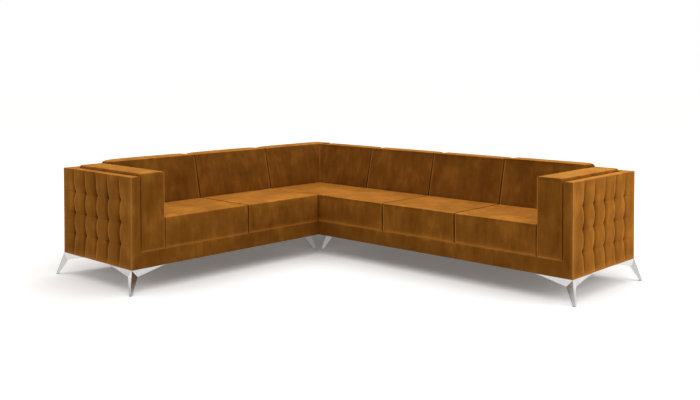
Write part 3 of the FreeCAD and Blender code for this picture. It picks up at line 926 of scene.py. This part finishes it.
def makePlatform(name, run):
    low, high = boxOf(name)
    place, extent = inRun(run, low, high)
    radius = platform["round"]
    piece = addBlock(name + "Cloth", extent,
                     [softPlaces(extent[k], radius, platform["cell"]) for k in range(3)])
    folds = evenFolds(extent.y, platform["rowPitch"])
    for v in piece.data.vertices:
        p = rounded(v.co.copy(), extent, radius)
        if p.z > extent.z / 2:
            fold = abs(pastFold(p.y, folds))
            p.z -= platform["rowDepth"] * math.exp(-fold / platform["rowWidth"])
        v.co = place(p)
    finishMesh(piece)
    dress(piece, platformCloth, "sofa", [name])


makePlatform("right_deck", "right")
makePlatform("left_deck", "left")
print("platforms made")


# dust cloth stapled under the base

dust = {"thick": 0.0012, "cell": 0.04, "hem": 0.004, "slack": 0.0006, "slackSize": 0.07,
        "slackFrom": 0.05, "rise": 0.0004}


def dustSheet(name, low, high, nodes):
    places = [softPlaces(high[k] - low[k], dust["hem"], dust["cell"]) for k in range(2)]
    size = Vector((high.x - low.x, high.y - low.y, dust["thick"]))
    piece = addBlock(name, size, places + [[0, dust["thick"]]])
    for v in piece.data.vertices:
        p = v.co + Vector((low.x, low.y, low.z + dust["rise"]))
        inside = min(v.co.x, size.x - v.co.x, v.co.y, size.y - v.co.y)
        sag = slack(p, dust["slackSize"], dust["slack"])
        p.z += sag * min(1, inside / dust["slackFrom"])
        v.co = p
    finishMesh(piece, 0)
    dress(piece, dustCloth, "sofa", nodes)


low, high = boxOf("dust_covers")
joint = Vector(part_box("right_apron")[0]).y
leftInner = Vector(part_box("left_apron")[0]).x
dustSheet("rightDustCloth", Vector((low.x, joint, low.z)), high, ["dust_covers"])
dustSheet("leftDustCloth", low, Vector((leftInner, joint, high.z)), [])
print("dust cloths made")


# polished legs, their edges eased

leg = {"bevel": 0.0008, "bevelSteps": 2, "bevelFrom": 15, "flatWithin": 1, "merge": 0.00002}


def polishedLeg(name):
    mesh = frame["nodes"][name].data.copy()
    piece = bpy.data.objects.new(name + "Polished", mesh)
    scene.collection.objects.link(piece)
    pick(piece)
    bpy.ops.object.mode_set(mode="EDIT")
    bpy.ops.mesh.select_all(action="SELECT")
    bpy.ops.mesh.remove_doubles(threshold=leg["merge"])
    bpy.ops.mesh.dissolve_limited(angle_limit=math.radians(leg["flatWithin"]))
    bpy.ops.object.mode_set(mode="OBJECT")
    bpy.ops.object.modifier_add(type="BEVEL")
    bevel = piece.modifiers[-1]
    bevel.width = leg["bevel"]
    bevel.segments = leg["bevelSteps"]
    bevel.limit_method = "ANGLE"
    bevel.angle_limit = math.radians(leg["bevelFrom"])
    bpy.ops.object.modifier_apply(modifier=bevel.name)
    bpy.ops.object.shade_flat()
    dress(piece, legPolish, "sofa", [name])


for part in frame["record"]["subparts"]:
    if part["material_slot"] == "leg_metal":
        polishedLeg(part["node"])
print("legs made")


# floor, light and camera

studio = {
    "floorSize": 80, "floorColor": (0.97, 0.97, 0.97, 1), "floorBounce": (0.42, 0.41, 0.40, 1),
    "floorRoughness": 0.9, "liftColor": (1.0, 0.92, 0.84, 1), "floorLift": 0.15,
    "liftFrom": 1.7, "liftTo": 4.0, "skyLight": 0.16,
}


def directView(tree):
    # 1 where the camera, a mirror or glass looks straight at the surface
    rays = tree.nodes.new("ShaderNodeLightPath").outputs
    mirror = addMath(tree, "MAXIMUM", rays["Is Camera Ray"], rays["Is Glossy Ray"])
    return addMath(tree, "MAXIMUM", mirror, rays["Is Transmission Ray"])


def makeFloor():
    # white far out; near the sofa a faint glow keeps its shadows from going black
    clearSelection()
    bpy.ops.mesh.primitive_plane_add(size=studio["floorSize"], location=(0, 0, 0))
    floor = bpy.context.object
    floor.name = "studioFloor"
    material, tree, shader = newMaterial("paleFloor")
    seen = directView(tree)
    away = tree.nodes.new("ShaderNodeVectorMath")
    away.operation = "LENGTH"
    feed(tree, away, {0: objectPlace(tree)})
    lift = addRange(tree, away.outputs["Value"], studio["floorLift"], 1.0,
                    studio["liftFrom"], studio["liftTo"], smooth=True)
    feed(tree, shader, {
        "Roughness": studio["floorRoughness"],
        "Specular IOR Level": 0.0,
        "Base Color": addMix(tree, seen, studio["floorBounce"], studio["floorColor"]),
        "Emission Color": studio["liftColor"],
        "Emission Strength": addMath(tree, "MULTIPLY", seen, lift),
    })
    floor.data.materials.append(material)


def makeSky():
    # white to the camera, but a dim light on the sofa
    world = bpy.data.worlds.new("studioWorld")
    scene.world = world
    world.use_nodes = True
    tree = world.node_tree
    strength = addRange(tree, directView(tree), studio["skyLight"], 1.0)
    feed(tree, tree.nodes["Background"], {"Color": (1, 1, 1, 1), "Strength": strength})


def makeLamp(name, spot, aim, size, power, spread=180):
    clearSelection()
    bpy.ops.object.light_add(type="AREA", location=spot)
    lamp = bpy.context.object
    lamp.name = name
    lamp.data.shape = "SQUARE"
    lamp.data.size = size
    lamp.data.energy = power
    lamp.data.spread = math.radians(spread)
    lamp.rotation_euler = (Vector(aim) - Vector(spot)).to_track_quat("-Z", "Y").to_euler()


lamps = {
    "overheadSoftbox": {"spot": (0.2, 0.1, 3.6), "aim": (0.2, 0.1, 0), "size": 7.5, "power": 250},
    "sideSoftbox": {"spot": (2.6, 0.95, 0.8), "aim": (1.44, 0.85, 0.35), "size": 1.0, "power": 13},
    "frontSoftbox": {
        "spot": (-1.6, -2.9, 0.9), "aim": (-1.05, -1.24, 0.35), "size": 1.0, "power": 9,
    },
    # two small cards that the inner legs mirror; their narrow beams light little else
    "leftLegCard": {
        "spot": (-0.558, 0.553, 0.093), "aim": (-0.792, 0.474, 0.056),
        "size": 0.13, "power": 0.0009, "spread": 40,
    },
    "rightLegCard": {
        "spot": (-0.787, 0.323, 0.093), "aim": (-0.709, 0.557, 0.056),
        "size": 0.13, "power": 0.0013, "spread": 40,
    },
}

camera = {
    "place": (3.909, -4.154, 1.358), "pitch": 0.0286, "yaw": 0.7485,
    "lens": 45.0, "sensor": 36, "shiftY": -0.150,
}


def makeCamera():
    data = bpy.data.cameras.new("studioCamera")
    viewer = bpy.data.objects.new("studioCamera", data)
    scene.collection.objects.link(viewer)
    viewer.location = camera["place"]
    viewer.rotation_euler = (math.pi / 2 - camera["pitch"], 0, camera["yaw"])
    data.lens = camera["lens"]
    data.sensor_width = camera["sensor"]
    data.shift_y = camera["shiftY"]
    scene.camera = viewer


makeFloor()
makeSky()
for name, lamp in lamps.items():
    makeLamp(name, **lamp)
makeCamera()
scene.view_settings.view_transform = "Standard"
print("studio made")
